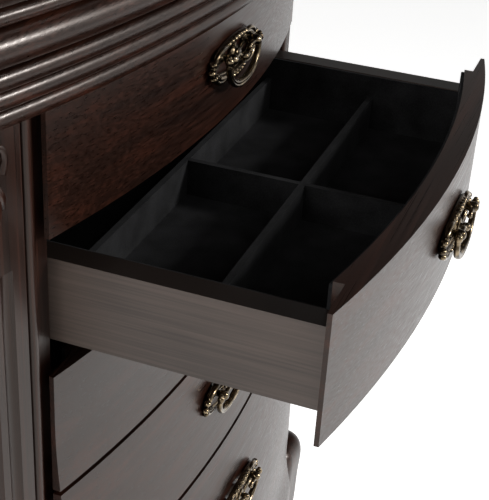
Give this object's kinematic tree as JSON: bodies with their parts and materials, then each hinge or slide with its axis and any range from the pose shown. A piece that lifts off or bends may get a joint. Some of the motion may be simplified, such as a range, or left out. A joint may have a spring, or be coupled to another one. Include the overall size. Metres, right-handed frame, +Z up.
{
  "type": "jewelry armoire",
  "caption": "Bow-front jewelry armoire on cabriole legs, with felt-lined divided drawers, a lift-up mirrored lid over a tray, and a hinged necklace compartment on each side.",
  "frame": {"origin": "on the floor, under the middle of the bounding box in the pose as pictured, with the second drawer open", "axes": "+Z up, -Y to the front where the drawers open, +X to the right side of a person facing the rear wall from the front"},
  "size_m": [0.465, 0.3978, 0.89],
  "materials": {
    "dark_wood": "very dark red-brown lacquered wood, satin gloss",
    "drawer_wood": "grey-brown lacquered drawer boards, satin",
    "felt": "black felt",
    "antique_brass": "antique brass with dark patina in the hollows",
    "looking_glass": "silvered glass",
    "black_plastic": "black plastic glides"
  },
  "bodies": {
    "case": {"face_stiles": "dark_wood", "partitions": "dark_wood", "drawer_runners": "drawer_wood", "front_rails": "dark_wood", "back_panel": "dark_wood", "case_floors": "dark_wood", "tray_deck": "drawer_wood", "tray_lining": "felt", "ring_rolls": "felt", "tray_dividers": "felt", "crown": "dark_wood", "lid_hinge_case_leaves": "antique_brass", "base_front_rail": "dark_wood", "base_side_rails": "dark_wood", "front_legs": "dark_wood", "rear_legs": "dark_wood", "foot_glides": "black_plastic", "door_hinge_case_leaves": "antique_brass"},
    "drawer_1": {"drawer_1_front": "dark_wood", "drawer_1_box": "drawer_wood", "drawer_1_lining": "felt", "drawer_1_dividers": "felt", "drawer_1_pull_plate": "antique_brass"},
    "bail_1": {"drawer_1_bail": "antique_brass"},
    "drawer_2": {"drawer_2_front": "dark_wood", "drawer_2_box": "drawer_wood", "drawer_2_lining": "felt", "drawer_2_dividers": "felt", "drawer_2_pull_plate": "antique_brass"},
    "bail_2": {"drawer_2_bail": "antique_brass"},
    "drawer_3": {"drawer_3_front": "dark_wood", "drawer_3_box": "drawer_wood", "drawer_3_lining": "felt", "drawer_3_dividers": "felt", "drawer_3_pull_plate": "antique_brass"},
    "bail_3": {"drawer_3_bail": "antique_brass"},
    "drawer_4": {"drawer_4_front": "dark_wood", "drawer_4_box": "drawer_wood", "drawer_4_lining": "felt", "drawer_4_dividers": "felt", "drawer_4_pull_plate": "antique_brass"},
    "bail_4": {"drawer_4_bail": "antique_brass"},
    "drawer_5": {"drawer_5_front": "dark_wood", "drawer_5_box": "drawer_wood", "drawer_5_lining": "felt", "drawer_5_pull_plate": "antique_brass"},
    "bail_5": {"drawer_5_bail": "antique_brass"},
    "lid": {"lid": "dark_wood", "lid_mirror": "looking_glass", "lid_hinge_lid_leaves": "antique_brass"},
    "right_door": {"right_door_panel": "dark_wood", "right_door_pilaster": "dark_wood", "right_hook_rail": "dark_wood", "right_necklace_hooks": "antique_brass", "right_door_hinge_leaves": "antique_brass"},
    "left_door": {"left_door_panel": "dark_wood", "left_door_pilaster": "dark_wood", "left_hook_rail": "dark_wood", "left_necklace_hooks": "antique_brass", "left_door_hinge_leaves": "antique_brass"}
  },
  "joints": [
    {"name": "drawer_1_slide", "type": "slide", "parent": "case", "child": "drawer_1", "axis": [0, -1, 0], "range_m": [0, 0.14]},
    {"name": "bail_1_swing", "type": "hinge", "parent": "drawer_1", "child": "bail_1", "pos_m": [0, -0.07425, 0.79275], "axis": [-1, 0, 0], "range_deg": [0, 80]},
    {"name": "drawer_2_slide", "type": "slide", "parent": "case", "child": "drawer_2", "axis": [0, -1, 0], "range_m": [-0.1217, 0.0183]},
    {"name": "bail_2_swing", "type": "hinge", "parent": "drawer_2", "child": "bail_2", "pos_m": [0, -0.19595, 0.72575], "axis": [-1, 0, 0], "range_deg": [0, 80]},
    {"name": "drawer_3_slide", "type": "slide", "parent": "case", "child": "drawer_3", "axis": [0, -1, 0], "range_m": [0, 0.14]},
    {"name": "bail_3_swing", "type": "hinge", "parent": "drawer_3", "child": "bail_3", "pos_m": [0, -0.07423, 0.65886], "axis": [-1, 0, 0], "range_deg": [0, 80]},
    {"name": "drawer_4_slide", "type": "slide", "parent": "case", "child": "drawer_4", "axis": [0, -1, 0], "range_m": [0, 0.14]},
    {"name": "bail_4_swing", "type": "hinge", "parent": "drawer_4", "child": "bail_4", "pos_m": [0, -0.07949, 0.59279], "axis": [-1, 0, 0], "range_deg": [0, 80]},
    {"name": "drawer_5_slide", "type": "slide", "parent": "case", "child": "drawer_5", "axis": [0, -1, 0], "range_m": [0, 0.14]},
    {"name": "bail_5_swing", "type": "hinge", "parent": "drawer_5", "child": "bail_5", "pos_m": [0, -0.09191, 0.51265], "axis": [-1, 0, 0], "range_deg": [0, 80]},
    {"name": "lid_lift", "type": "hinge", "parent": "case", "child": "lid", "pos_m": [0, 0.19615, 0.8455], "axis": [-1, 0, 0], "range_deg": [0, 98]},
    {"name": "right_door_swing", "type": "hinge", "parent": "case", "child": "right_door", "pos_m": [0.2112, 0.18445, 0.6], "axis": [0, 0, 1], "range_deg": [0, 100]},
    {"name": "left_door_swing", "type": "hinge", "parent": "case", "child": "left_door", "pos_m": [-0.2112, 0.18445, 0.6], "axis": [0, 0, -1], "range_deg": [0, 100]}
  ]
}
